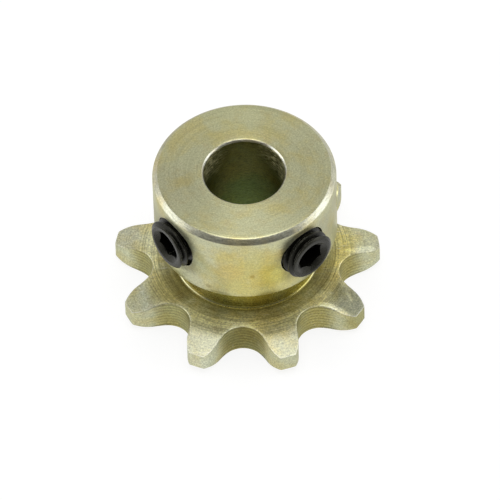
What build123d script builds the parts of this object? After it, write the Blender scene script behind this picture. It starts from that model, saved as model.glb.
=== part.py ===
from build123d import *
import os
from math import atan2, cos, radians, sin, sqrt, tan

# A one-piece hub sprocket for 9.525 mm pitch roller chain, with two socket set screws in its hub.
# Millimetres. +Z runs along the bore towards the hub. The origin is on the bore's axis, in the middle
# plane of the tooth plate, which is the plane that the chain runs in.

# Chain
chain_pitch = 9.525
roller_diameter = 5.08
seat_allowance = 0.0762        # the standard's allowance on the seat of a roller, at any pitch
link_plate_height = 9.0
link_clearance = 0.085         # between the chain's link plates and the bottom of the groove

# Tooth plate
tooth_count = 9
plate_thickness = 4.2
gap_angle = -93.5              # degrees from +X to the middle of the gap at the front
side_bevel_width = 2.84        # how far in from their tips the teeth are thinned, on both sides
side_bevel_depth = 1.0         # taken off each side of a tooth at its tip
tip_round = 0.3                # rounding of a tooth tip's two corners
edge_break = 0.1               # small bevel where the gaps' walls meet the plate's flat faces

# Hub and groove
overall_length = 19.28
hub_diameter = 21.7
hub_chamfer = 0.63
groove_width = 5.05
groove_fillet = 0.35

# Bore
bore_diameter = 9.525
bore_chamfer = 0.27

# Set screws and their holes
screw_diameter = 6.2
screw_length = 6.35
screw_clearance = 0.05         # radial gap between a screw and its hole
screw_inset = 4.82             # from the hub's end to the screws' axes
hole_lead_in = 0.2
left_tip_gap = 0.77            # from the bore's wall to each screw's tip
right_tip_gap = 1.18
left_screw_angle = -143.2      # degrees from +X to each screw's axis
right_screw_angle = -51.2
left_socket_angle = 27.0       # how far each socket is turned, in degrees
right_socket_angle = 30.0
screws = {
    "set_screw_left": (left_screw_angle, left_tip_gap, left_socket_angle),
    "set_screw_right": (right_screw_angle, right_tip_gap, right_socket_angle),
}
socket_flats = 3.175
socket_depth = 2.6
socket_lead_in = 0.25
head_chamfer = 0.4
tip_chamfer = 0.9
cup_diameter = 3.3
cup_depth = 0.8

# Low raised spot on the hub's side
spot_angle = 0.0
spot_inset = 5.05              # from the hub's end to the middle of the spot's base
spot_base_diameter = 3.3
spot_face_diameter = 1.7
spot_rise = 0.42
spot_lean = 0.4                # how much nearer to the hub's end the face lies than the base

half_step = radians(180 / tooth_count)
pitch_radius = chain_pitch / (2 * sin(half_step))
outside_radius = chain_pitch * (0.6 + 1 / tan(half_step)) / 2    # the standard's formula
groove_radius = pitch_radius * cos(half_step) - link_plate_height / 2 - link_clearance
plate_half = plate_thickness / 2
groove_top = plate_half + groove_width
hub_radius = hub_diameter / 2
hub_top = overall_length - plate_half
bore_radius = bore_diameter / 2
hole_radius = screw_diameter / 2 + screw_clearance


def tooth_gap():
    """One gap of the standard (ANSI B29.1) roller chain tooth form, pointing along +Y."""
    # The standard's own formulas: three arcs and a short straight run make each flank
    seat_radius = (1.005 * roller_diameter + seat_allowance) / 2
    seat_angle = radians(35 + 60 / tooth_count)
    work_angle = radians(18 - 56 / tooth_count)
    top_angle = radians(17 - 64 / tooth_count)
    work_radius = 1.3025 * roller_diameter + seat_allowance / 2
    straight = roller_diameter * (1.4 * sin(top_angle) - 0.8 * sin(work_angle))
    top_share = 0.8 * cos(work_angle) + 1.4 * cos(top_angle) - 1.3025
    top_radius = roller_diameter * top_share - seat_allowance / 2
    work_offset = 0.8 * roller_diameter
    top_offset = 1.4 * roller_diameter

    def ray(radius, angle):
        return Vector(radius * cos(angle), radius * sin(angle))

    # The right-hand flank, from the roller's centre. It ends on the next tooth's centre line, where a
    # pointed tooth would have its tip.
    outward = ray(1, radians(90) - half_step)
    across = ray(1, -half_step)
    work_centre = ray(work_offset, radians(180) - seat_angle)
    top_centre = across * top_offset
    past_line = top_offset - chain_pitch / 2
    rise = sqrt(top_radius**2 - past_line**2)
    seat_bottom = ray(seat_radius, radians(-90))
    seat_end = ray(seat_radius, -seat_angle)
    work_end = work_centre + ray(work_radius, work_angle - seat_angle)
    straight_end = work_end + ray(straight, radians(90) + work_angle - seat_angle)
    point = top_centre - across * past_line + outward * rise
    start_angle = atan2(straight_end.Y - top_centre.Y, straight_end.X - top_centre.X)
    end_angle = atan2(point.Y - top_centre.Y, point.X - top_centre.X)
    beyond = outward * outside_radius

    with BuildSketch() as half:
        with BuildLine():
            ThreePointArc(seat_bottom, ray(seat_radius, (radians(-90) - seat_angle) / 2), seat_end)
            ThreePointArc(seat_end, work_centre + ray(work_radius, work_angle / 2 - seat_angle), work_end)
            Line(work_end, straight_end)
            ThreePointArc(straight_end, top_centre + ray(top_radius, (start_angle + end_angle) / 2), point)
            Polyline(point, point + beyond, Vector(0, (point + beyond).Y), seat_bottom)
        make_face()
    half_gap = Pos(0, pitch_radius) * half.sketch
    return half_gap + mirror(half_gap, Plane.YZ)


def around_plate(shape):
    """Copies of a shape made for a gap that points along +Y, one at each of the plate's gaps."""
    first = gap_angle - 90
    step = 360 / tooth_count
    return [Rot(0, 0, first + count * step) * shape for count in range(tooth_count)]


def tooth_outline(gap):
    outline = Circle(outside_radius) - around_plate(gap)
    lands = outline.edges().filter_by(lambda edge: (edge @ 0.5).length > outside_radius - tip_round)
    if lands:    # a pointed tooth has none
        corners = [corner for land in lands for corner in land.vertices()]
        outline = fillet(corners, min(tip_round, min(land.length for land in lands) / 3))
    return outline


def gap_cutters(gap):
    """All that is cut away around the teeth, and what widens the gaps at the plate's two faces."""
    waste = Circle(2 * outside_radius) - tooth_outline(gap)
    through = extrude(waste, plate_half + groove_width / 2, both=True)
    upper = Pos(0, 0, plate_half - edge_break) * extrude(gap, 2 * edge_break, taper=-45)
    return [through] + around_plate(upper) + around_plate(mirror(upper, Plane.XY))


def turned_blank():
    """The lathe's work: plate, groove, hub and bore in one section, turned about Z."""
    # The plate's rim stands past the tips, so that the cutter alone makes the teeth's ends
    rim_stock = side_bevel_width / 2
    rim_radius = outside_radius + rim_stock
    rim_half = plate_half - side_bevel_depth * (1 + rim_stock / side_bevel_width)
    with BuildSketch(Plane.XZ) as section:
        with BuildLine():
            Polyline(
                (bore_radius + bore_chamfer, -plate_half),
                (outside_radius - side_bevel_width, -plate_half),
                (rim_radius, -rim_half),
                (rim_radius, rim_half),
                (outside_radius - side_bevel_width, plate_half),
                (groove_radius, plate_half),
                (groove_radius, groove_top),
                (hub_radius, groove_top),
                (hub_radius, hub_top - hub_chamfer),
                (hub_radius - hub_chamfer, hub_top),
                (bore_radius + bore_chamfer, hub_top),
                (bore_radius, hub_top - bore_chamfer),
                (bore_radius, bore_chamfer - plate_half),
                close=True,
            )
        make_face()
        groove_corners = section.vertices().filter_by_position(Axis.X, groove_radius, groove_radius)
        fillet(groove_corners, groove_fillet)
    return revolve(section.sketch, Axis.Z)


def raised_spot():
    """The low spot on the hub's side: a round base sunk in the hub, and a smaller face set higher up."""
    sunk = spot_rise / 2
    base_height = hub_top - spot_inset
    base_place = Pos(hub_radius - sunk, 0, base_height) * Rot(0, 90, 0)
    face_place = Pos(hub_radius + spot_rise, 0, base_height + spot_lean) * Rot(0, 90, 0)
    base = base_place * Circle(spot_base_diameter / 2)
    face = face_place * Circle(spot_face_diameter / 2)
    return Rot(0, 0, spot_angle) * loft([base, face])


def on_screw_axis(name, distance):
    """A place on a screw's axis, at a distance from the bore's axis, with +Z pointing outwards."""
    angle = screws[name][0]
    return Rot(0, 0, angle) * Pos(distance, 0, hub_top - screw_inset) * Rot(0, 90, 0)


def screw_hole(name):
    outwards = (Align.CENTER, Align.CENTER, Align.MIN)
    hole = Cylinder(hole_radius, hub_diameter, align=outwards)
    mouth = Cone(hole_radius, hole_radius + 2 * hole_lead_in, 2 * hole_lead_in, align=outwards)
    return on_screw_axis(name, 0) * hole + on_screw_axis(name, hub_radius - hole_lead_in) * mouth


def sprocket():
    body = turned_blank() - gap_cutters(tooth_gap()) + raised_spot()
    return body - [screw_hole(name) for name in screws]


def set_screw(socket_angle):
    """A socket set screw with a cup point. Its tip's rim is in the plane Z = 0, and its head faces +Z."""
    radius = screw_diameter / 2
    with BuildSketch(Plane.XZ) as section:
        with BuildLine():
            Polyline(
                (0, screw_length),
                (radius - head_chamfer, screw_length),
                (radius, screw_length - head_chamfer),
                (radius, tip_chamfer),
                (radius - tip_chamfer, 0),
                (cup_diameter / 2, 0),
                (0, cup_depth),
                close=True,
            )
        make_face()
    body = revolve(section.sketch, Axis.Z)
    # At an angle of 0, one of the socket's corners is on the tangent to the hub
    hexagon = RegularPolygon(socket_flats / 2, 6, major_radius=False, rotation=90 + socket_angle)
    lead_in = Cone(hexagon.radius - socket_lead_in, hexagon.radius + socket_lead_in, 2 * socket_lead_in)
    socket = extrude(hexagon, -socket_depth) + lead_in
    return body - Pos(0, 0, screw_length) * socket


os.makedirs("parts", exist_ok=True)
export_step(sprocket(), "parts/sprocket.step")
for name, (angle, tip_gap, socket_angle) in screws.items():
    screw = on_screw_axis(name, bore_radius + tip_gap) * set_screw(socket_angle)
    export_step(screw, f"parts/{name}.step")
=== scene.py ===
import math

import bmesh
import bpy
from mathutils import Matrix, Vector


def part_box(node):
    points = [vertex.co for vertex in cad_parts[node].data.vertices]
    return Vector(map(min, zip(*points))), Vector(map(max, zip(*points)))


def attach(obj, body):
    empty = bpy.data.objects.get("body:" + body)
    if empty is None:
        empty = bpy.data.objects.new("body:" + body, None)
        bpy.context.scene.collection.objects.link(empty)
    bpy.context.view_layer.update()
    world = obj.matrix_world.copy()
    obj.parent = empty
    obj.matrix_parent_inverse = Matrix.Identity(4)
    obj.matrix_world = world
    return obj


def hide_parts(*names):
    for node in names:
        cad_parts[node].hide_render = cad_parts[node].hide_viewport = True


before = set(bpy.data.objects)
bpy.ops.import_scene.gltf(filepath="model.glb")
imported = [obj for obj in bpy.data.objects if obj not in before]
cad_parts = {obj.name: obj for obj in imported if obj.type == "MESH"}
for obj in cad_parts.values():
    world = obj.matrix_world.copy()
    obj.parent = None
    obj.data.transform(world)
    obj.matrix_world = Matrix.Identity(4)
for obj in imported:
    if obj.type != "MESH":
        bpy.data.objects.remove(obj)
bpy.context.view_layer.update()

metresPerMm = 0.001
fullTurn = 2 * math.pi
zAxis = (0, 0, 1)
sprocketLow, sprocketHigh = (Vector(corner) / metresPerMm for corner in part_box("sprocket"))

# Pieces are made in millimetres, and finishPiece turns them into metres


def addWire(bm, points):
    verts = [bm.verts.new((x, 0, z)) for x, z in points]
    return [bm.edges.new(pair) for pair in zip(verts, verts[1:])]


def roundVerts(bm, verts, reach, segments):
    bmesh.ops.bevel(
        bm, geom=verts, offset=reach, offset_type="OFFSET", segments=segments,
        profile=0.5, affect="VERTICES", clamp_overlap=True, material=-1,
    )


def roundCorners(bm, places, reach, segments):    # of a wire, at these (x, z) places
    corners = [
        vert for vert in bm.verts
        if any(abs(vert.co.x - x) + abs(vert.co.z - z) < 1e-4 for x, z in places)
    ]
    roundVerts(bm, corners, reach, segments)


def divide(bm, edge, cuts):
    bmesh.ops.subdivide_edges(bm, edges=[edge], cuts=cuts)


def spinFull(bm, steps):
    bmesh.ops.spin(
        bm, geom=bm.verts[:] + bm.edges[:], cent=(0, 0, 0), axis=zAxis,
        angle=fullTurn, steps=steps, use_merge=True,
    )


def closeUp(bm, reach=1e-4):
    bmesh.ops.remove_doubles(bm, verts=bm.verts[:], dist=reach)
    bmesh.ops.recalc_face_normals(bm, faces=bm.faces[:])


def asObject(bm, name):
    mesh = bpy.data.meshes.new(name)
    bm.to_mesh(mesh)
    bm.free()
    obj = bpy.data.objects.new(name, mesh)
    bpy.context.scene.collection.objects.link(obj)
    return obj


def carve(obj, tool, operation):    # the tool is used up
    mod = obj.modifiers.new("carve", "BOOLEAN")
    mod.object = tool
    mod.operation = operation
    mod.solver = "EXACT"
    bpy.context.view_layer.update()
    graph = bpy.context.evaluated_depsgraph_get()
    carved = bpy.data.meshes.new_from_object(obj.evaluated_get(graph))
    obj.modifiers.clear()
    old = obj.data
    obj.data = carved
    bpy.data.meshes.remove(old)
    bpy.data.objects.remove(tool)


def finishPiece(obj, materials, zone, body, node, creaseAngle):
    mesh = obj.data
    mesh.materials.clear()
    for material in materials:
        mesh.materials.append(material)
    for face in mesh.polygons:
        face.material_index = zone(face.center, face.normal)
    mesh.transform(Matrix.Scale(metresPerMm, 4))
    mesh.shade_smooth()
    mesh.set_sharp_from_angle(angle=math.radians(creaseAngle))
    obj.modifiers.new("evenShading", "WEIGHTED_NORMAL").keep_sharp = True
    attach(obj, body)
    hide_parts(node)


# The chain's sizes give the teeth their form

chain = {"pitch": 9.525, "roller": 5.08, "seatAllowance": 0.0762, "teeth": 9}

plate = {
    "halfThickness": -sprocketLow.z,
    "bevelStart": 13.1,    # radius where the teeth begin to thin
    "bevelSlope": 1.0 / 2.84,
    "bevelBlend": 0.9,    # half the width over which the bend is spread
    "tipRound": 0.06,
    "rootEdge": 0.15,    # rounding where a gap meets the faces, at its bottom
    "flankEdge": 0.28,
    "tipEdge": 0.04,
    "edgeGrows": 1.2,    # how far up from the root the rounding grows to the flank's
    "edgeShrinks": 2.0,    # and how far past the bevel's start it shrinks to the tip's
    "underRow": 7.6,    # radii where the faces have a ring of points
    "roundRow": 10.6,    # the last ring that is a full circle
    "rootRow": 11.6,
    "tipRow": 14.9,
    "wallsFrom": 11.0,    # steep faces further out are the gaps' walls, or the raised spot
    "gapAngle": -93.5,
    "feedStep": 0.26,    # half the spacing of the cutter's marks in the gaps
    "feedDepth": 0.03,
}

hub = {
    "radius": 10.85,
    "top": sprocketHigh.z,
    "chamfer": 0.63,
    "neckRadius": 8.5,
    "grooveTop": 7.15,
    "neckFillet": 0.35,
    "boreRadius": 4.7625,
    "boreChamfer": 0.27,
    "topEdge": 0.13,
    "boreEdge": 0.1,
    "boreMouth": 0.2,    # where the bore's chamfer meets its wall
    "edge": 0.06,    # at the hub's lower rim and the bore's lower end
}


def ray(length, degrees):
    angle = math.radians(degrees)
    return Vector((length * math.cos(angle), length * math.sin(angle), 0))


def polarAngle(point):
    return math.degrees(math.atan2(point.y, point.x))


def lastSpun(bm, vert, centre, degrees, steps):
    made = bmesh.ops.spin(
        bm, geom=[vert], cent=centre, axis=zAxis, angle=math.radians(degrees), steps=steps
    )
    return next(item for item in made["geom_last"] if isinstance(item, bmesh.types.BMVert))


def toothFlank():    # half a gap and half a tooth, as (angle, radius) from the gap's middle
    teeth, roller = chain["teeth"], chain["roller"]
    halfStep = 180 / teeth
    pitchRadius = chain["pitch"] / (2 * math.sin(math.radians(halfStep)))
    outsideRadius = chain["pitch"] * (0.6 + 1 / math.tan(math.radians(halfStep))) / 2
    seatRadius = (1.005 * roller + chain["seatAllowance"]) / 2
    seatAngle = 35 + 60 / teeth
    workAngle = 18 - 56 / teeth
    topAngle = 17 - 64 / teeth
    sinWork, cosWork = math.sin(math.radians(workAngle)), math.cos(math.radians(workAngle))
    sinTop, cosTop = math.sin(math.radians(topAngle)), math.cos(math.radians(topAngle))
    straight = roller * (1.4 * sinTop - 0.8 * sinWork)
    topRadius = roller * (0.8 * cosWork + 1.4 * cosTop - 1.3025) - chain["seatAllowance"] / 2
    rollerCentre = Vector((0, pitchRadius, 0))
    workCentre = rollerCentre + ray(0.8 * roller, 180 - seatAngle)
    topCentre = rollerCentre + ray(1.4 * roller, -halfStep)

    bm = bmesh.new()
    start = bm.verts.new(rollerCentre + ray(seatRadius, -90))
    seatEnd = lastSpun(bm, start, rollerCentre, 90 - seatAngle, 12)
    workEnd = lastSpun(bm, seatEnd, workCentre, workAngle, 4)
    straightEnd = bm.verts.new(workEnd.co + ray(straight, 90 + workAngle - seatAngle))
    bm.edges.new((workEnd, straightEnd))
    # The top arc runs to the outside circle
    reach = topCentre.length
    spread = math.degrees(math.acos(
        (reach**2 + topRadius**2 - outsideRadius**2) / (2 * reach * topRadius)
    ))
    turn = polarAngle(-topCentre) - spread - polarAngle(straightEnd.co - topCentre)
    corner = lastSpun(bm, straightEnd, topCentre, (turn + 180) % 360 - 180, 9)
    lastSpun(bm, corner, (0, 0, 0), 90 - halfStep - polarAngle(corner.co), 2)
    bmesh.ops.remove_doubles(bm, verts=bm.verts[:], dist=1e-4)
    onTip = [vert for vert in bm.verts if abs(vert.co.length - outsideRadius) < 1e-3]
    roundVerts(bm, [min(onTip, key=lambda vert: vert.co.x)], plate["tipRound"], 3)
    flank = sorted((90 - polarAngle(vert.co), vert.co.length) for vert in bm.verts)
    bm.free()
    return flank, outsideRadius


def plateOutline(flank):    # every column's place on the rim, with its outward direction
    half = len(flank) - 1
    step = 360 / chain["teeth"]
    mirrored = [(step - angle, radius) for angle, radius in flank[half:0:-1]]
    places = [
        ray(radius, plate["gapAngle"] + tooth * step + angle)
        for tooth in range(chain["teeth"])
        for angle, radius in flank[:half] + mirrored
    ]
    outline = []
    for index, place in enumerate(places):
        along = places[(index + 1) % len(places)] - places[index - 1]
        outline.append((place, Vector((along.y, -along.x, 0)).normalized()))
    return outline


def faceHeight(radius):    # half the plate's thickness at a radius
    past = radius - plate["bevelStart"]
    blend = plate["bevelBlend"]
    if past <= -blend:
        thinned = 0
    elif past < blend:
        thinned = (past + blend) ** 2 / (4 * blend)
    else:
        thinned = past
    return plate["halfThickness"] - plate["bevelSlope"] * thinned


def wireSections(outsideRadius):    # the turned section as (x, z, role, share), see placeColumn
    half = plate["halfThickness"]
    start, blend = plate["bevelStart"], plate["bevelBlend"]
    bend = [start + blend * share for share in (-1, -0.6, -0.2, 0.2, 0.6, 1)]
    faceRows = [(row, half, 1, 0) for row in (plate["rootRow"], *bend, plate["tipRow"])]
    edgeRows = [(outsideRadius, half, 2, share / 3) for share in range(4)]
    marks = int(half / plate["feedStep"])
    wallRows = [
        (outsideRadius, mark * plate["feedStep"], 3, mark % 2) for mark in range(-marks, marks + 1)
    ]
    upperRim = faceRows + edgeRows
    lowerRim = [(x, -z, role, share) for x, z, role, share in upperRim]
    lower = [
        (hub["boreRadius"], hub["boreChamfer"] - half),
        (hub["boreRadius"] + hub["boreChamfer"], -half),
        (plate["underRow"], -half),
        (plate["roundRow"], -half),
    ]
    upper = [
        (plate["roundRow"], half),
        (hub["neckRadius"], half),
        (hub["neckRadius"], hub["grooveTop"]),
        (hub["radius"], hub["grooveTop"]),
        (hub["radius"], hub["top"] - hub["chamfer"]),
        (hub["radius"] - hub["chamfer"], hub["top"]),
        (hub["boreRadius"] + hub["boreChamfer"], hub["top"]),
        (hub["boreRadius"], hub["top"] - hub["boreChamfer"]),
    ]
    return lower, lowerRim + wallRows + upperRim[::-1], upper


def placeColumn(vert, role, share, place, outward):
    radius = math.hypot(vert.co.x, vert.co.y)
    side = math.copysign(1, vert.co.z)
    if role == 0:    # turned
        vert.co = place.normalized() * radius + Vector((0, 0, vert.co.z))
        return
    toTip = min(max((place.length - plate["bevelStart"]) / plate["edgeShrinks"], 0), 1)
    upFlank = min(max((place.length - plate["rootRow"]) / plate["edgeGrows"], 0), 1)
    edge = plate["rootEdge"] + upFlank * (plate["flankEdge"] - plate["rootEdge"])
    edge += toTip * (plate["tipEdge"] - edge)
    lip = place - outward * edge
    lipHeight = faceHeight(lip.length)
    if role == 1:    # across the plate's face, up to the rounded edge
        reach = min(radius, lip.length)
        vert.co = lip.normalized() * reach + Vector((0, 0, side * faceHeight(reach)))
    elif role == 2:    # round the edge
        turned = share * math.pi / 2
        height = lipHeight - edge * (1 - math.cos(turned))
        vert.co = lip + outward * edge * math.sin(turned) + Vector((0, 0, side * height))
    else:    # down the wall, with every second row cut deeper
        depth = plate["feedDepth"] * share * (1 - toTip)
        height = min(abs(vert.co.z), lipHeight - edge)
        vert.co = place - outward * depth + Vector((0, 0, side * height))


def sprocketMesh():
    flank, outsideRadius = toothFlank()
    outline = plateOutline(flank)
    steps = len(outline)
    lower, rim, upper = wireSections(outsideRadius)
    bm = bmesh.new()
    roles = bm.verts.layers.int.new("role")
    shares = bm.verts.layers.float.new("share")
    verts = []
    for x, z, *kind in lower + rim + upper:
        vert = bm.verts.new((x, 0, z))
        vert[roles], vert[shares] = kind or (0, 0)
        verts.append(vert)
    edges = [bm.edges.new(pair) for pair in zip(verts, verts[1:] + verts[:1])]
    topStart = len(verts) - len(upper)
    divide(bm, edges[-1], 18)    # bore
    divide(bm, edges[topStart + 1], 5)    # neck
    divide(bm, edges[topStart + 3], 14)    # hub's side
    divide(bm, edges[topStart + 5], 7)    # hub's end
    roundCorners(bm, upper[1:3], hub["neckFillet"], 6)
    roundCorners(bm, upper[4:6], hub["topEdge"], 3)
    roundCorners(bm, upper[6:7], hub["boreEdge"], 3)
    roundCorners(bm, upper[7:], hub["boreMouth"], 5)
    roundCorners(bm, upper[3:4] + lower[:2], hub["edge"], 2)
    spinFull(bm, steps)
    for vert in bm.verts:
        turned = math.atan2(vert.co.y, vert.co.x) / fullTurn * steps
        placeColumn(vert, vert[roles], vert[shares], *outline[round(turned) % steps])
    closeUp(bm, 1e-3)
    return bm


# The set screws lie along +Z while they are made, with the tip at zero

setScrew = {
    "radius": 3.1,
    "length": 6.35,
    "threadPitch": 0.907,
    "threadDepth": 0.5,
    "threadShares": (0.25, 0.55, 0.69),    # of the pitch, where root ends and crest starts and ends
    "headChamfer": 0.28,
    "rimRound": 0.05,
    "facets": 96,    # round the screw, and round its hole
    "tipChamfer": 0.9,
    "cupRadius": 1.65,
    "cupDepth": 0.8,
    "socketFlats": 3.175,
    "socketDepth": 2.6,
    "mouthRadius": 2.25,    # of the cone that leads into the socket
    "mouthDepth": 0.5,
    "height": 12.36,
}

screwHole = {
    "radius": 3.15,
    "innerEnd": 1.5,    # this far from the bore's axis, so inside the bore
    "flare": 0.07,
    "flareRows": ((0, 0.7), (0, 0.3), (0.1, 0.2), (0.4, 0.08), (1, 0), (2, -0.08)),    # share, depth
    "threadDepth": 0.2,
    "threadTurns": 9.2,
}

screwPlaces = {    # direction from +X, tip's distance from the bore's axis, socket's turn, thread's start
    "left": (-143.2, 5.5325, 27.0, -1.65),
    "right": (-51.2, 5.9425, 30.0, -2.0),
}


def alongScrew(degrees, distance):
    return (
        Matrix.Rotation(math.radians(degrees), 4, "Z")
        @ Matrix.Translation((distance, 0, setScrew["height"]))
        @ Matrix.Rotation(math.radians(90), 4, "Y")
    )


def threadedBar(crest, root, low, high):    # a closed bar with one helical ridge
    pitch = setScrew["threadPitch"]
    stepsPerTurn = 72
    turns = math.ceil((high - low) / pitch) + 1
    rootEnd, crestStart, crestEnd = (low + share * pitch for share in setScrew["threadShares"])
    bm = bmesh.new()
    addWire(bm, [
        (root, low), (root, rootEnd), (crest, crestStart), (crest, crestEnd), (root, low + pitch),
    ])
    bmesh.ops.spin(
        bm, geom=bm.verts[:] + bm.edges[:], cent=(0, 0, 0), axis=zAxis,
        angle=fullTurn * turns, steps=stepsPerTurn * turns,
        dvec=(0, 0, pitch / stepsPerTurn), use_merge=False,
    )
    bmesh.ops.remove_doubles(bm, verts=bm.verts[:], dist=1e-3)
    rims = [edge for edge in bm.edges if edge.is_boundary]
    bmesh.ops.holes_fill(bm, edges=rims, sides=0)
    bmesh.ops.triangulate(bm, faces=[face for face in bm.faces if len(face.verts) > 4])
    bmesh.ops.recalc_face_normals(bm, faces=bm.faces[:])
    return bm


def screwBlank():
    s = setScrew
    clear = 0.2    # the blank is this much wider than the thread
    head, mouth = s["length"], s["mouthRadius"]
    coneDepth = s["mouthDepth"] * mouth / (mouth - s["socketFlats"] / 2)
    rims = [(s["radius"] - s["headChamfer"], head), (mouth, head)]
    bm = bmesh.new()
    addWire(bm, [
        (0, s["cupDepth"]), (s["cupRadius"], 0), (s["radius"] - s["tipChamfer"], 0),
        (s["radius"] + clear, s["tipChamfer"] + clear),
        (s["radius"] + clear, head - s["headChamfer"] - clear),
        *rims, (0, head - coneDepth),
    ])
    roundCorners(bm, rims, s["rimRound"], 2)
    spinFull(bm, s["facets"])
    closeUp(bm)
    return bm


def socketTool(turn):
    s = setScrew
    bm = bmesh.new()
    bmesh.ops.create_circle(
        bm, cap_ends=True, segments=6, radius=s["socketFlats"] / 2 / math.cos(math.radians(30))
    )
    bmesh.ops.rotate(
        bm, verts=bm.verts[:], cent=(0, 0, 0), matrix=Matrix.Rotation(math.radians(turn), 3, "Z")
    )
    made = bmesh.ops.extrude_face_region(bm, geom=bm.faces[:])
    top = [item for item in made["geom"] if isinstance(item, bmesh.types.BMVert)]
    bmesh.ops.translate(bm, verts=bm.verts[:], vec=(0, 0, s["length"] - s["socketDepth"]))
    bmesh.ops.translate(bm, verts=top, vec=(0, 0, s["socketDepth"] + 1))
    bmesh.ops.recalc_face_normals(bm, faces=bm.faces[:])
    return bm


def makeScrew(side, materials):
    degrees, tip, turn, threadStart = screwPlaces[side]
    s = setScrew
    bar = threadedBar(s["radius"], s["radius"] - s["threadDepth"], threadStart, s["length"] + 2)
    screw = asObject(bar, side + "SetScrew")
    carve(screw, asObject(screwBlank(), "blank"), "INTERSECT")
    carve(screw, asObject(socketTool(turn), "socket"), "DIFFERENCE")
    screw.data.transform(alongScrew(degrees, tip))
    finishPiece(
        screw, materials, lambda centre, normal: 0, side + "_screw",
        "set_screw_" + side, creaseAngle=35,
    )


def holeTool(side):    # its flared mouth follows the hub's side
    radius, flare, skin = screwHole["radius"], screwHole["flare"], hub["radius"]
    inner, outer = screwHole["innerEnd"], skin + 2
    mouth = [(radius + share * flare, skin - depth) for share, depth in screwHole["flareRows"]]
    bm = bmesh.new()
    addWire(bm, [(0, inner), (radius, inner), *mouth, (mouth[-1][0], outer), (0, outer)])
    spinFull(bm, setScrew["facets"])
    closeUp(bm)
    for vert in bm.verts:
        if skin - 0.8 < vert.co.z < skin + 1:    # the mouth's rows
            vert.co.z += math.sqrt(skin**2 - vert.co.y**2) - skin
    bmesh.ops.transform(bm, verts=bm.verts[:], matrix=alongScrew(screwPlaces[side][0], 0))
    return bm


def holeThread(side):    # its groove breaks out at the top of the hole's mouth
    radius, skin = screwHole["radius"], hub["radius"]
    low = skin - screwHole["threadTurns"] * setScrew["threadPitch"]
    bm = threadedBar(radius + screwHole["threadDepth"], radius - 0.02, low, skin + 0.5)
    bmesh.ops.transform(bm, verts=bm.verts[:], matrix=alongScrew(screwPlaces[side][0], 0))
    return bm


raisedSpot = {
    "height": 12.13,
    "baseRadius": 1.65,
    "faceRadius": 0.85,
    "faceRound": 0.7,
    "rise": 0.42,
    "rootDepth": 0.3,    # how deep in the hub it starts
    "lean": 0.4,
}


def spotMesh():    # a low cone on the hub's side that leans towards the hub's end
    s = raisedSpot
    sunk = s["rise"] / 2
    bm = bmesh.new()
    addWire(bm, [
        (0, -s["rootDepth"]), (s["baseRadius"], -s["rootDepth"]), (s["baseRadius"], -sunk),
        (s["faceRadius"], s["rise"]), (0, s["rise"]),
    ])
    roundCorners(bm, [(s["faceRadius"], s["rise"])], s["faceRound"], 8)
    spinFull(bm, 48)
    closeUp(bm)
    for vert in bm.verts:
        vert.co.x -= s["lean"] * max(0, (vert.co.z + sunk) / (s["rise"] + sunk))
    bmesh.ops.transform(
        bm, verts=bm.verts[:],
        matrix=Matrix.Translation((hub["radius"], 0, s["height"]))
        @ Matrix.Rotation(math.radians(90), 4, "Y"),
    )
    return bm


sprocketZones = ("hubEnd", "hubSide", "chamfer", "bore", "neck", "plateFace", "toothWall")


def inScrewHole(centre):
    for degrees, *_ in screwPlaces.values():
        axis = ray(1, degrees)
        offset = centre - Vector((0, 0, setScrew["height"]))
        along = offset.dot(axis)
        if along > 0 and (offset - axis * along).length < screwHole["radius"] + 0.5:
            return True
    return False


def sprocketZone(centre, normal):
    radius = math.hypot(centre.x, centre.y)
    height = centre.z
    steep = abs(normal.z) < 0.5
    inHole = radius < hub["radius"] - 0.02 and inScrewHole(centre)
    if inHole or radius < hub["boreRadius"] + 0.03:
        name = "bore"
    elif height > hub["top"] - hub["chamfer"]:
        name = "hubEnd" if abs(normal.z) > 0.9 else "chamfer"
    elif steep and radius > plate["wallsFrom"]:
        name = "toothWall" if abs(height) < plate["halfThickness"] else "hubSide"
    elif steep:
        name = "hubSide" if radius > hub["radius"] - 0.3 else "neck"
    elif height > plate["halfThickness"] + 0.02:
        name = "neck"
    else:
        name = "plateFace"
    return sprocketZones.index(name)


def makeSprocket(materials):
    sprocket = asObject(sprocketMesh(), "chainSprocket")
    carve(sprocket, asObject(spotMesh(), "spot"), "UNION")
    for side in screwPlaces:
        carve(sprocket, asObject(holeTool(side), "hole"), "DIFFERENCE")
        carve(sprocket, asObject(holeThread(side), "thread"), "DIFFERENCE")
    finishPiece(
        sprocket, materials, sprocketZone, "sprocket", "sprocket", creaseAngle=26
    )


# Shader helpers: feeds are values or the sockets of other nodes


def addNode(tree, kind, feeds=None, **settings):
    made = tree.nodes.new(kind)
    for name, value in settings.items():
        setattr(made, name, value)
    for socket, value in (feeds or {}).items():
        if isinstance(value, bpy.types.NodeSocket):
            tree.links.new(value, made.inputs[socket])
        else:
            made.inputs[socket].default_value = value
    return made


def maths(tree, operation, first, second=0.0, third=0.0):
    feeds = {0: first, 1: second, 2: third}
    return addNode(tree, "ShaderNodeMath", feeds, operation=operation).outputs[0]


def remap(tree, value, fromLow, fromHigh, toLow, toHigh):
    feeds = {"Value": value, "From Min": fromLow, "From Max": fromHigh, "To Min": toLow, "To Max": toHigh}
    return addNode(tree, "ShaderNodeMapRange", feeds, interpolation_type="SMOOTHSTEP").outputs[0]


def mixColours(tree, share, first, second, blend="MIX"):
    feeds = {"Factor": share, 6: first, 7: second}
    return addNode(tree, "ShaderNodeMix", feeds, data_type="RGBA", blend_type=blend).outputs[2]


def noise(tree, vector, scale, detail=2.0, roughness=0.5):
    feeds = {"Vector": vector, "Scale": scale, "Detail": detail, "Roughness": roughness}
    return addNode(tree, "ShaderNodeTexNoise", feeds).outputs[0]


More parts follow.
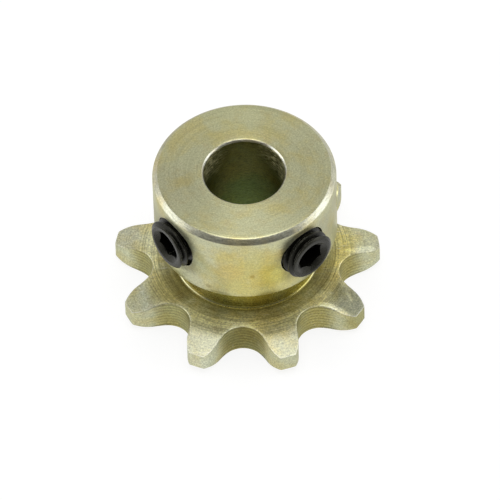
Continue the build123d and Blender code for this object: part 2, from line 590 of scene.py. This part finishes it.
def vectorMaths(tree, operation, first, second=(0, 0, 0)):
    return addNode(tree, "ShaderNodeVectorMath", {0: first, 1: second}, operation=operation).outputs


def shifted(tree, vector, offset):
    return vectorMaths(tree, "ADD", vector, offset)["Vector"]


def greyOf(tree, value):
    return addNode(tree, "ShaderNodeCombineXYZ", {0: value, 1: value, 2: value}).outputs[0]


def newGroup(name, inputs, outputs):
    group = bpy.data.node_groups.new(name, "ShaderNodeTree")
    for title, kind in inputs.items():
        group.interface.new_socket(title, in_out="INPUT", socket_type="NodeSocket" + kind)
    for title, kind in outputs.items():
        group.interface.new_socket(title, in_out="OUTPUT", socket_type="NodeSocket" + kind)
    entry = group.nodes.new("NodeGroupInput").outputs
    result = group.nodes.new("NodeGroupOutput").inputs
    return group, entry, result


def useGroup(tree, group, feeds):
    return addNode(tree, "ShaderNodeGroup", feeds, node_tree=group).outputs


def toolMarksGroup():    # fine lines across one coordinate, which fade along the other two
    group, entry, result = newGroup(
        "toolMarks",
        {"Vector": "Vector", "Across": "Float", "Spacing": "Float", "Drift": "Float", "Feed": "Float",
         "Feed Share": "Float"},
        {"Marks": "Float"},
    )
    split = addNode(group, "ShaderNodeSeparateXYZ", {0: entry["Vector"]}).outputs
    packed = addNode(group, "ShaderNodeCombineXYZ", {
        0: maths(group, "DIVIDE", entry["Across"], entry["Spacing"]),
        1: maths(group, "MULTIPLY", split[0], entry["Drift"]),
        2: maths(group, "MULTIPLY", split[1], entry["Drift"]),
    }).outputs[0]
    uneven = noise(group, packed, 1.0, 3.0, 0.65)
    # Feed lines are evenly spaced and sway a little
    swayed = maths(group, "MULTIPLY_ADD", noise(group, entry["Vector"], 0.4), 0.12, entry["Across"])
    turns = maths(group, "MULTIPLY", maths(group, "DIVIDE", swayed, entry["Feed"]), fullTurn)
    ridge = maths(group, "MULTIPLY_ADD", maths(group, "SINE", turns), 0.25, 0.5)
    blended = addNode(group, "ShaderNodeMix", {0: entry["Feed Share"], 2: uneven, 3: ridge}).outputs[0]
    group.links.new(blended, result["Marks"])
    return group


def platingGroup():    # the mottled colours of a yellow zinc coat, and its grain
    group, entry, result = newGroup(
        "plating",
        {"Vector": "Vector", "Pale": "Color", "Gold": "Color", "Blush": "Color", "Golden": "Float",
         "Speckle": "Float"},
        {"Color": "Color", "Grain": "Float"},
    )
    clouds = noise(group, entry["Vector"], 0.28, 4.0, 0.6)
    goldShare = maths(group, "ADD", remap(group, clouds, 0.4, 0.68, 0.0, 0.55), entry["Golden"])
    goldShare = addNode(group, "ShaderNodeClamp", {0: goldShare}).outputs[0]
    blushes = noise(group, shifted(group, entry["Vector"], (31, 7, 12)), 0.55, 4.0, 0.62)
    blushShare = remap(group, blushes, 0.5, 0.75, 0.0, 0.6)
    grain = noise(group, entry["Vector"], 5.0, 3.0, 0.75)
    colour = mixColours(group, goldShare, entry["Pale"], entry["Gold"])
    colour = mixColours(group, blushShare, colour, entry["Blush"])
    speck = maths(group, "MULTIPLY_ADD", maths(group, "SUBTRACT", grain, 0.5), entry["Speckle"], 1.0)
    colour = mixColours(group, 1.0, colour, greyOf(group, speck), "MULTIPLY")
    group.links.new(colour, result["Color"])
    group.links.new(grain, result["Grain"])
    return group


def edgeWearGroup():    # Edge is 1 along rounded and sharp edges, and Wear is that broken up by noise
    group, entry, result = newGroup(
        "edgeWear", {"Vector": "Vector", "Reach": "Float"},
        {"Edge": "Float", "Wear": "Float"},
    )
    eased = addNode(group, "ShaderNodeBevel", {"Radius": entry["Reach"]}, samples=6).outputs[0]
    facing = addNode(group, "ShaderNodeNewGeometry").outputs["Normal"]
    match = vectorMaths(group, "DOT_PRODUCT", eased, facing)["Value"]
    edge = remap(group, match, 0.99, 0.86, 0.0, 1.0)
    broken = remap(group, noise(group, entry["Vector"], 1.1, 4.0, 0.65), 0.42, 0.6, 0.06, 1.0)
    group.links.new(edge, result["Edge"])
    group.links.new(maths(group, "MULTIPLY", edge, broken), result["Wear"])
    return group


def tintPatchGroup():    # a soft cloud round the line between two places
    group, entry, result = newGroup(
        "tintPatch", {"Vector": "Vector", "Start": "Vector", "End": "Vector", "Reach": "Float"},
        {"Patch": "Float"},
    )
    line = vectorMaths(group, "SUBTRACT", entry["End"], entry["Start"])["Vector"]
    offset = vectorMaths(group, "SUBTRACT", entry["Vector"], entry["Start"])["Vector"]
    along = maths(
        group, "DIVIDE", vectorMaths(group, "DOT_PRODUCT", offset, line)["Value"],
        vectorMaths(group, "DOT_PRODUCT", line, line)["Value"],
    )
    along = addNode(group, "ShaderNodeClamp", {0: along}).outputs[0]
    alongLine = addNode(group, "ShaderNodeVectorMath", {0: line, "Scale": along}, operation="SCALE")
    away = vectorMaths(group, "DISTANCE", offset, alongLine.outputs["Vector"])["Value"]
    ragged = maths(group, "MULTIPLY_ADD", noise(group, entry["Vector"], 0.5, 3.0), 0.9, 0.55)
    share = maths(group, "DIVIDE", maths(group, "MULTIPLY", away, ragged), entry["Reach"])
    group.links.new(remap(group, share, 0.35, 1.0, 1.0, 0.0), result["Patch"])
    return group


def scratchesGroup():    # short straight lines in two directions, here and there
    group, entry, result = newGroup(
        "scratches", {"Vector": "Vector", "Amount": "Float"}, {"Scratch": "Float"}
    )
    total = None
    for turn, offset in ((0.6, 3.0), (-0.9, 17.0)):
        stretched = addNode(group, "ShaderNodeMapping", {
            "Vector": entry["Vector"], "Rotation": (0, 0, turn), "Scale": (0.8, 9.0, 1.2),
            "Location": (offset, 0, 0),
        }).outputs[0]
        line = remap(group, noise(group, stretched, 1.0, 2.0, 0.5), 0.64, 0.74, 0.0, 1.0)
        total = line if total is None else maths(group, "MAXIMUM", total, line)
    where = noise(group, shifted(group, entry["Vector"], (5, 19, 2)), 0.45, 2.0)
    kept = maths(group, "MULTIPLY", total, remap(group, where, 0.42, 0.58, 0.0, 1.0))
    group.links.new(maths(group, "MULTIPLY", kept, entry["Amount"]), result["Scratch"])
    return group


toolMarks = toolMarksGroup()
plating = platingGroup()
edgeWear = edgeWearGroup()
tintPatch = tintPatchGroup()
scratches = scratchesGroup()


def newMaterial(name):
    material = bpy.data.materials.new(name)
    material.use_nodes = True
    tree = material.node_tree
    tree.nodes.clear()
    shader = addNode(tree, "ShaderNodeBsdfPrincipled")
    addNode(tree, "ShaderNodeOutputMaterial", {"Surface": shader.outputs[0]})
    place = addNode(tree, "ShaderNodeTexCoord").outputs["Object"]
    inMm = addNode(tree, "ShaderNodeMapping", {"Vector": place, "Scale": (1000, 1000, 1000)}).outputs[0]
    return material, tree, shader.inputs, inMm


zinc = {
    "pale": (0.56, 0.565, 0.375, 1),
    "gold": (0.585, 0.50, 0.19, 1),
    "blush": (0.52, 0.465, 0.27, 1),
    "bareAndGlint": (0.88, 0.88, 0.80, 1),    # worn to bright steel, also the colour of painted edge highlights
    "edgeSheen": (0.80, 0.79, 0.70, 1),    # colour of the gloss at a glancing angle
    "wearReach": 0.00018,    # how far the wear reaches from an edge, in metres
}

# Spacing, drift and feed of the marks are in mm, depths in metres. A patch is (centre, reach, tint), a
# streak (start, end, reach, tint) and paints a highlight, a place with painted glints or with painted
# edge highlights is (centre, reach), a band is (start radius, end radius, tint), and fade (start radius,
# end radius, share of the marks left). Several patches and bands paint shade or light.
zincFinishes = {
    "hubEnd": {
        "across": "radius", "spacing": 0.24, "drift": 0.10, "markDepth": 0.000008, "markShade": 0.12,
        "grainDepth": 0.000012, "speckle": 1.2, "roughness": 0.38, "stretch": 0.6,
        "wear": 0.6, "scratch": 0.1, "tint": (1.02, 1.01, 0.94, 1),
        "patches": (
            # Painted shade: the back of the hub's end is darker.
            ((0, 9.5, 17.2), 8.0, (0.86, 0.86, 0.82, 1)),
            ((-9, -2, 17.2), 5.0, (0.93, 0.92, 0.94, 1)),
            ((-5, -7.5, 17.2), 4.0, (0.93, 0.93, 0.92, 1)),
        ),
    },
    "hubSide": {
        "across": "height", "spacing": 0.22, "drift": 0.10, "markDepth": 0.000004, "markShade": 0.08,
        "grainDepth": 0.000014, "speckle": 1.3, "roughness": 0.33, "stretch": 0.15,
        "wear": 0.5, "scratch": 0.08, "mattRound": 5.4, "mattMetallic": 0.3,
        "patches": (
            ((1.5, -10.8, 10.5), 7.5, (1.05, 0.96, 0.60, 1)),
            ((3.2, -10.3, 10.6), 2.6, (1.0, 0.99, 0.74, 1)),
            ((-2.2, -10.6, 11.6), 2.4, (1.04, 0.95, 0.86, 1)),
            ((-4.6, -9.8, 11.0), 2.4, (0.92, 0.92, 0.88, 1)),
            # Painted shade: darker towards the hub's left and right sides, and on its front left.
            ((-10.6, -2.5, 11), 5.0, (0.70, 0.70, 0.66, 1)),
            ((-7.0, -8.3, 12.5), 3.6, (0.76, 0.78, 0.72, 1)),
            ((10.5, -2.5, 13), 5.0, (0.86, 0.86, 0.88, 1)),
            ((-4.64, -9.8, 8.1), 0.5, (0.70, 0.66, 0.58, 1)),
            ((0.6, -10.8, 10.8), 0.45, (0.78, 0.72, 0.62, 1)),
            # Painted shade over the raised spot's highlight.
            ((11.3, 0, 12.5), 1.4, (0.86, 0.88, 1.08, 1)),
        ),
        # Painted highlight: a bright crescent below the left screw's hole.
        "highlightStreaks": (((-8.7, -6.5, 7.9), (-7.5, -7.8, 8.9), 0.55, (1.22, 1.21, 1.18, 1)),),
    },
    "chamfer": {
        "across": "height", "spacing": 0.08, "drift": 1.1, "markDepth": 0.000018, "markShade": 0.3,
        "grainDepth": 0.000012, "speckle": 1.2, "roughness": 0.33,
        # Its band and patches paint highlights and shade: lighter round the bore's mouth and at the front
        # left and right, darker at the back left.
        "wear": 0.5, "tint": (1.1, 1.08, 1.26, 1), "bands": ((6.0, 5.6, (1.22, 1.24, 1.36, 1)),),
        "patches": (
            ((-7.5, 7.5, 17), 7.0, (0.74, 0.74, 0.70, 1)),
            ((7.5, -7.0, 17), 5.0, (1.08, 1.12, 1.2, 1)),
            ((-7.8, -6.8, 17), 4.0, (1.08, 1.1, 1.12, 1)),
            ((4.2, 2.7, 17), 2.2, (1.3, 1.35, 1.5, 1)),
        ),
    },
    "bore": {
        "across": "height", "spacing": 0.11, "drift": 1.3, "markDepth": 0.00006, "markShade": 0.4,
        "grainDepth": 0.000040, "speckle": 1.8, "roughness": 0.42,
        # Its dark tint is part colour and part painted shade of the hollow.
        "wear": 0.3, "tint": (0.44, 0.45, 0.23, 1),
        "patches": (((0.5, 4.8, 6.0), 7.0, (0.60, 0.80, 0.74, 1)),),
        # Painted glints: bright, rough streaks along the marks, high on the bore's sides and at the tops
        # of the screw holes, in the bore's own bare colour.
        "glintsRoughen": 0.5, "bareAndGlint": (0.98, 0.93, 0.62, 1),
        "brightened": (
            ((-4.3, 2.0, 16.2), 4.0), ((4.2, 2.2, 15.6), 4.0),
            ((6.8, -8.5, 15.5), 1.4), ((-8.7, -6.5, 15.5), 1.2),
        ),
    },
    "neck": {
        "across": "height", "spacing": 0.24, "drift": 0.06, "markDepth": 0.000016, "markShade": 0.45,
        "grainDepth": 0.000008, "speckle": 0.5, "roughness": 0.24, "golden": 0.1,
        "wear": 0.0, "tint": (1.2, 1.17, 1.06, 1),
        "patches": (
            # Painted shade: darker at the front, in the groove under the hub.
            ((0, -8.5, 4.5), 7.5, (0.84, 0.80, 0.46, 1)),
            ((6.0, -6.0, 2.3), 3.5, (1.0, 0.97, 0.66, 1)),
        ),
    },
    "plateFace": {
        "across": "radius", "spacing": 0.11, "drift": 0.12, "markDepth": 0.000024, "markShade": 0.46,
        "grainDepth": 0.000034, "speckle": 2.2, "roughness": 0.47, "golden": 0.1,
        # Its wide edge wear is part wear and part painted highlight along the gaps' edges.
        "wear": 1.0, "wearReach": 0.0003, "scratch": 0.42, "fade": (12.3, 13.3, 0.35),
        "bands": (
            # Painted shade where the hub overhangs the plate, and painted light outside the hub's shadow.
            (9.4, 8.8, (0.72, 0.70, 0.56, 1)), (10.5, 10.9, (1.42, 1.42, 1.42, 1)),
            (11.5, 12.6, (0.86, 0.86, 0.88, 1)), (12.4, 13.8, (0.88, 0.89, 1.0, 1)),
        ),
        "patches": (
            ((10.0, -0.4, 2.1), 5.0, (1.0, 0.96, 0.72, 1)),
            ((11.9, -7.9, 1.8), 3.2, (0.56, 0.57, 0.54, 1)),
            ((10.9, -5.9, 1.8), 1.3, (0.70, 0.70, 0.66, 1)),
            # Painted light on the plate in front of the hub.
            ((-0.7, -10.4, 2.1), 3.4, (1.42, 1.42, 1.46, 1)),
            ((-12.9, -6.6, 1.8), 2.6, (0.80, 0.82, 0.80, 1)),
            ((-14.0, -1.5, 1.9), 4.0, (0.92, 0.92, 0.86, 1)),
            ((-9.0, -5.0, 2.1), 4.0, (0.72, 0.66, 0.46, 1)),
            ((13.6, 2.2, 1.7), 2.6, (1.12, 1.12, 1.0, 1)),
            # Painted shade on the plate beside the right screw.
            ((9.3, -4.6, 2.1), 2.8, (0.78, 0.75, 0.66, 1)),
        ),
        "highlightStreaks": (
            # Painted highlights: bright bands along two teeth's edges, and two small glints.
            ((8.9, -8.5, 1.9), (13.4, -10.3, 1.8), 0.85, (2.0, 2.0, 2.1, 1)),
            ((12.2, -0.25, 1.8), (15.0, 0.3, 1.6), 0.7, (1.42, 1.45, 1.55, 1)),
            ((11.4, -6.0, 1.8), (12.3, -7.5, 1.8), 0.28, (1.5, 1.5, 1.5, 1)),
            ((9.6, -6.3, 1.9), (10.3, -5.4, 1.9), 0.2, (1.5, 1.5, 1.5, 1)),
        ),
        # Painted highlights along the gaps' edges at these places.
        "edgeHighlights": (
            ((1.7, -12.6, 2.0), 1.8), ((-3.3, -14.2, 1.8), 1.6), ((-6.3, -14.6, 1.1), 2.6),
            ((4.5, -15.2, 1.1), 2.8), ((13.3, -8.8, 1.1), 2.4), ((-14.2, -7.1, 1.1), 2.4),
        ),
    },
    "toothWall": {
        "across": "height", "spacing": 0.25, "drift": 0.25, "markDepth": 0.000012, "markShade": 0.34,
        "feed": 0.5, "feedShare": 0.6, "fade": (12.8, 14.2, 0.12),
        "grainDepth": 0.000020, "speckle": 2.0, "roughness": 0.42,
        "wear": 0.7, "scratch": 0.12, "wornTo": (0.30, 0.27, 0.16, 1),
        "tint": (1.0, 1.02, 1.06, 1),
        # Painted shade: darker deep in the gaps, most in the front gap.
        "bands": ((14.6, 12.2, (0.70, 0.66, 0.44, 1)),),
        "patches": (
            ((-0.7, -11.4, 0), 3.4, (0.58, 0.56, 0.46, 1)),
            ((12.9, -8.6, 0), 3.0, (0.72, 0.69, 0.50, 1)),
            ((-6.2, -14.6, 0), 2.4, (1.14, 1.15, 1.26, 1)),
        ),
    },
}


def patchShare(tree, place, reach, start, end=None):
    feeds = {"Vector": place, "Start": start, "End": end or start, "Reach": reach}
    return useGroup(tree, tintPatch, feeds)["Patch"]


def markShare(tree, finish, place, radius, height):
    marks = useGroup(tree, toolMarks, {
        "Vector": place, "Across": radius if finish["across"] == "radius" else height,
        "Spacing": finish["spacing"], "Drift": finish["drift"], "Feed": finish.get("feed", 1.0),
        "Feed Share": finish.get("feedShare", 0.0),
    })["Marks"]
    if "fade" in finish:
        start, end, left = finish["fade"]
        kept = remap(tree, radius, start, end, 1.0, left)
        marks = addNode(tree, "ShaderNodeMix", {0: kept, 2: 0.55, 3: marks}).outputs[0]
    return marks


# Multiplies in the finish's tint, bands, patches and streaks; several of these paint shade, light or
# highlights.
def tinted(tree, finish, colour, place, radius):
    if "tint" in finish:
        colour = mixColours(tree, 1.0, colour, finish["tint"], "MULTIPLY")
    for start, end, tint in finish.get("bands", ()):
        inBand = remap(tree, radius, start, end, 0.0, 1.0)
        colour = mixColours(tree, inBand, colour, tint, "MULTIPLY")
    patches = [(centre, None, reach, tint) for centre, reach, tint in finish.get("patches", ())]
    for start, end, reach, tint in patches + list(finish.get("highlightStreaks", ())):
        patch = patchShare(tree, place, reach, start, end)
        colour = mixColours(tree, patch, colour, tint, "MULTIPLY")
    return colour


# Edge wear, and painted highlights along the edges at the listed places.
def wearAndHighlightShare(tree, finish, place):
    reach = finish.get("wearReach", zinc["wearReach"])
    edges = useGroup(tree, edgeWear, {"Vector": place, "Reach": reach})
    wearAndHighlight = maths(tree, "MULTIPLY", edges["Wear"], finish["wear"])
    for centre, reach in finish.get("edgeHighlights", ()):
        inPatch = maths(tree, "MULTIPLY", edges["Edge"], patchShare(tree, place, reach, centre))
        wearAndHighlight = maths(tree, "MAXIMUM", wearAndHighlight, inPatch)
    return wearAndHighlight


# Scratches, and painted glints along the marks at the listed places.
def scratchAndGlintShare(tree, finish, place, marks):
    brightened = 0.0
    if "scratch" in finish:
        brightened = useGroup(tree, scratches, {"Vector": place, "Amount": finish["scratch"]})["Scratch"]
    if "brightened" in finish:    # painted glints, bright along the marks
        ridges = remap(tree, marks, 0.46, 0.66, 0.0, 0.95)
        for centre, reach in finish["brightened"]:
            patch = patchShare(tree, place, reach, centre)
            brightened = maths(tree, "MULTIPLY_ADD", patch, ridges, brightened)
    return brightened


def besideHoles(tree, place, reach):    # 1 round the screws' holes
    share = 0.0
    for degrees, *_ in screwPlaces.values():
        start, end = (
            tuple(ray(away, degrees) + Vector((0, 0, setScrew["height"]))) for away in (5, 15)
        )
        share = maths(tree, "MAXIMUM", share, patchShare(tree, place, reach, start, end))
    return share


def zincMaterial(name, finish):
    material, tree, shader, place = newMaterial(name + "Zinc")
    split = addNode(tree, "ShaderNodeSeparateXYZ", {0: place}).outputs
    flat = addNode(tree, "ShaderNodeCombineXYZ", {0: split[0], 1: split[1]}).outputs[0]
    radius = vectorMaths(tree, "LENGTH", flat)["Value"]
    marks = markShare(tree, finish, place, radius, split[2])
    coat = useGroup(tree, plating, {
        "Vector": place, "Pale": zinc["pale"], "Gold": zinc["gold"], "Blush": zinc["blush"],
        "Golden": finish.get("golden", 0.0), "Speckle": finish["speckle"],
    })
    dark = remap(tree, marks, 0.3, 0.6, 1 - finish["markShade"], 1.0)
    bareAndGlint = finish.get("bareAndGlint", zinc["bareAndGlint"])
    colour = tinted(tree, finish, coat["Color"], place, radius)
    colour = mixColours(tree, 1.0, colour, greyOf(tree, dark), "MULTIPLY")
    colour = mixColours(tree, wearAndHighlightShare(tree, finish, place), colour, finish.get("wornTo", bareAndGlint))
    brightened = scratchAndGlintShare(tree, finish, place, marks)
    tree.links.new(mixColours(tree, brightened, colour, bareAndGlint), shader["Base Color"])

    shader["Metallic"].default_value = 1
    if "mattRound" in finish:    # the coat hides the black screws' reflection beside their holes
        matt = besideHoles(tree, place, finish["mattRound"])
        tree.links.new(remap(tree, matt, 0.0, 1.0, 1.0, finish["mattMetallic"]), shader["Metallic"])
    shader["Specular Tint"].default_value = zinc["edgeSheen"]
    rough = finish["roughness"]
    gloss = remap(tree, coat["Grain"], 0.2, 0.8, rough - 0.06, rough + 0.08)
    if "glintsRoughen" in finish:
        gloss = maths(tree, "MULTIPLY_ADD", brightened, finish["glintsRoughen"], gloss)
    tree.links.new(gloss, shader["Roughness"])
    if "stretch" in finish:    # highlights spread across the tool marks
        shader["Anisotropic"].default_value = finish["stretch"]
        shader["Anisotropic Rotation"].default_value = 0.25
        around = addNode(tree, "ShaderNodeTangent", direction_type="RADIAL", axis="Z")
        tree.links.new(around.outputs[0], shader["Tangent"])

    scored = addNode(tree, "ShaderNodeBump", {"Height": marks, "Distance": finish["markDepth"]})
    grained = addNode(tree, "ShaderNodeBump", {
        "Height": coat["Grain"], "Distance": finish["grainDepth"], "Normal": scored.outputs[0],
    })
    tree.links.new(grained.outputs[0], shader["Normal"])
    return material


blackOxide = {
    "dark": (0.0032, 0.0032, 0.0020, 1),
    "handled": (0.030, 0.030, 0.022, 1),    # the screw's face, where a key rubs it
    # Worn crests, brightened to stand in for their highlights: part wear, part painted highlight.
    "wearAndHighlight": (0.34, 0.34, 0.27, 1),
    "sheen": (1.0, 0.98, 0.82, 1),    # colour of its gloss
    "specular": 0.25,
    "roughness": 0.28,
    "grainDepth": 0.000010,
    "wearReach": 0.00008,
}


def blackMaterial(side):
    material, tree, shader, place = newMaterial(side + "BlackOxide")
    degrees, tip, *_ = screwPlaces[side]
    faced = addNode(tree, "ShaderNodeMapping", {    # X is then the height above the screw's face
        "Vector": place, "Rotation": (0, 0, -math.radians(degrees)),
        "Location": (-tip - setScrew["length"], 0, 0),
    }).outputs[0]
    above = addNode(tree, "ShaderNodeSeparateXYZ", {0: faced}).outputs[0]
    grain = noise(tree, place, 5.0, 3.0, 0.7)
    nearFace = remap(tree, above, -0.5, -0.12, 0.0, 1.0)
    brightened = maths(tree, "MULTIPLY", nearFace, remap(tree, grain, 0.3, 0.7, 0.5, 1.0))
    wear = useGroup(tree, edgeWear, {"Vector": place, "Reach": blackOxide["wearReach"]})["Wear"]
    wearAndHighlight = maths(tree, "MULTIPLY", wear, remap(tree, grain, 0.4, 0.6, 0.2, 0.9))
    colour = mixColours(tree, brightened, blackOxide["dark"], blackOxide["handled"])
    tree.links.new(mixColours(tree, wearAndHighlight, colour, blackOxide["wearAndHighlight"]), shader["Base Color"])
    rough = blackOxide["roughness"]
    tree.links.new(remap(tree, grain, 0.3, 0.7, rough - 0.05, rough + 0.12), shader["Roughness"])
    shader["Specular IOR Level"].default_value = blackOxide["specular"]
    shader["Specular Tint"].default_value = blackOxide["sheen"]
    bump = addNode(tree, "ShaderNodeBump", {"Height": grain, "Distance": blackOxide["grainDepth"]})
    tree.links.new(bump.outputs[0], shader["Normal"])
    return material


zincMaterials = [zincMaterial(name, zincFinishes[name]) for name in sprocketZones]
print("finishes made")
makeSprocket(zincMaterials)
print("sprocket made")
for side in screwPlaces:
    makeScrew(side, [blackMaterial(side)])
print("set screws made")


stage = {
    "floorHeight": sprocketLow.z - 0.01,
    "floorReach": 3000,
    "floorColour": 0.2,
    "floorGlow": 0.84,
    "frontLevel": 0.1,    # of the world's light, low in front and low behind
    "backLevel": 0.74,
    "overheadLevel": 0.12,    # more of it overhead
    "backRise": -0.9,    # how the lit backdrop leans, and where it starts and ends
    "backStart": -0.45,
    "backEnd": 0.2,
    "lightsAim": (0, 0, 0.008),
}


def makeFloor():
    bm = bmesh.new()
    bmesh.ops.create_grid(bm, x_segments=1, y_segments=1, size=stage["floorReach"] * metresPerMm)
    bmesh.ops.translate(bm, verts=bm.verts[:], vec=(0, 0, stage["floorHeight"] * metresPerMm))
    floor = asObject(bm, "floor")
    material = bpy.data.materials.new("paleFloor")
    material.use_nodes = True
    tree = material.node_tree
    tree.nodes.clear()
    grey = stage["floorColour"]
    matt = addNode(tree, "ShaderNodeBsdfDiffuse", {"Color": (grey, grey, grey, 1)})
    seen = addNode(tree, "ShaderNodeLightPath").outputs
    looks = maths(tree, "ADD", seen["Is Camera Ray"], seen["Is Glossy Ray"])
    looks = maths(tree, "ADD", looks, seen["Is Transmission Ray"])
    level = maths(tree, "MULTIPLY", looks, stage["floorGlow"])
    glow = addNode(tree, "ShaderNodeEmission", {"Strength": level})
    lit = addNode(tree, "ShaderNodeAddShader", {0: matt.outputs[0], 1: glow.outputs[0]})
    under = addNode(tree, "ShaderNodeNewGeometry").outputs["Backfacing"]
    clear = addNode(tree, "ShaderNodeBsdfTransparent")
    either = addNode(tree, "ShaderNodeMixShader", {0: under, 1: lit.outputs[0], 2: clear.outputs[0]})
    addNode(tree, "ShaderNodeOutputMaterial", {"Surface": either.outputs[0]})
    floor.data.materials.append(material)


def makeWorld():    # brightest low at the back, as a lit backdrop is
    world = bpy.data.worlds.new("studio")
    world.use_nodes = True
    tree = world.node_tree
    direction = addNode(tree, "ShaderNodeTexCoord").outputs["Generated"]
    split = addNode(tree, "ShaderNodeSeparateXYZ", {0: direction}).outputs
    behind = maths(tree, "MULTIPLY_ADD", split[2], stage["backRise"], split[1])
    front, back = stage["frontLevel"], stage["backLevel"]
    level = remap(tree, behind, stage["backStart"], stage["backEnd"], front, back)
    level = maths(tree, "MULTIPLY_ADD", split[2], stage["overheadLevel"], level)
    tree.links.new(level, tree.nodes["Background"].inputs["Strength"])
    tree.nodes["Background"].inputs["Color"].default_value = (1, 1, 1, 1)
    bpy.context.scene.world = world


softBoxes = {    # place and size in metres, power in watts
    "left": ((-0.6, -0.01, 0.24), 0.46, 1.08),
    "right": ((0.6, -0.01, 0.24), 0.46, 1.2),
    "above": ((0, -0.06, 0.9), 0.68, 4.3),
}


def makeLights():
    for name, (place, size, power) in softBoxes.items():
        light = bpy.data.lights.new(name + "SoftBox", "AREA")
        light.shape = "SQUARE"
        light.size = size
        light.energy = power
        lamp = bpy.data.objects.new(name + "SoftBox", light)
        lamp.location = place
        aim = Vector(stage["lightsAim"]) - Vector(place)
        lamp.rotation_euler = aim.to_track_quat("-Z", "Y").to_euler()
        bpy.context.scene.collection.objects.link(lamp)


lens = {    # millimetres and degrees
    "looksAt": (0, 0, 16.55),
    "elevation": 50.2,
    "distance": 833,
    "roll": -1.78,
    "focal": 509.5,
    "right": 0.675,    # how far the view's middle lies from the point looked at
    "down": 8.85,
}


def makeCamera():
    camera = bpy.data.cameras.new("camera")
    camera.sensor_width = 36
    camera.lens = lens["focal"]
    camera.clip_start = 0.05
    camera.clip_end = 20
    eye = bpy.data.objects.new("camera", camera)
    bpy.context.scene.collection.objects.link(eye)
    tilt = math.radians(90 - lens["elevation"])
    back = Vector((0, -math.sin(tilt), math.cos(tilt)))
    facing = Matrix.Rotation(tilt, 3, "X") @ Matrix.Rotation(math.radians(lens["roll"]), 3, "Z")
    target = Vector(lens["looksAt"])
    middle = target + facing @ Vector((lens["right"], -lens["down"], 0))
    place = target + back * lens["distance"]
    toMiddle = facing.inverted() @ (middle - place)
    turn = Vector((0, 0, -1)).rotation_difference(toMiddle).to_matrix()
    pose = (facing @ turn).to_4x4()
    pose.translation = place * metresPerMm
    eye.matrix_world = pose
    bpy.context.scene.camera = eye


makeFloor()
makeWorld()
makeLights()
makeCamera()
bpy.context.scene.view_settings.view_transform = "Standard"
print("floor, light and camera made")
